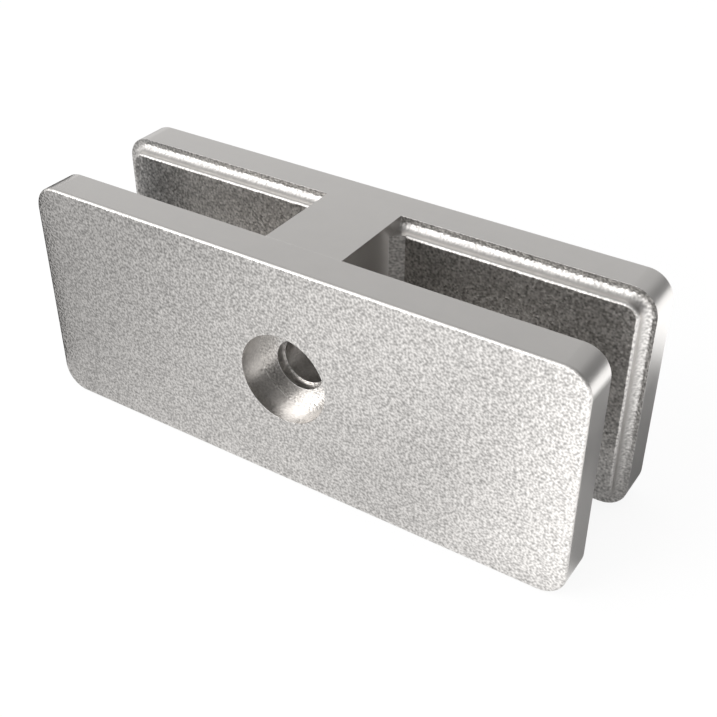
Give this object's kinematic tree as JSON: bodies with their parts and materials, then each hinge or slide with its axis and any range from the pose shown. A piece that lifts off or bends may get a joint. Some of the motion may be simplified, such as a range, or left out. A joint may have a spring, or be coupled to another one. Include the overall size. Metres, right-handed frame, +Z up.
{
  "type": "glass clamp",
  "caption": "Straight glass clamp that joins two panes edge to edge: a front plate closes on a rear body by one screw, with a slot for glass at each end.",
  "frame": {"origin": "under the middle of the clamp, level with its lowest faces", "axes": "+X along the clamp from one pane to the other, -Y out of the front face where the screw enters, +Z up"},
  "size_m": [0.1, 0.0298, 0.041],
  "materials": {
    "satin_steel": "fine bead-blasted satin on the faces, smoother on the edges"
  },
  "bodies": {
    "rear_body": {"rear_body": "satin_steel"},
    "front_plate": {"front_plate": "satin_steel"}
  },
  "joints": [
    {"name": "plate_slide", "type": "slide", "parent": "rear_body", "child": "front_plate", "axis": [0, -1, 0], "range_m": [0, 0.008]}
  ]
}
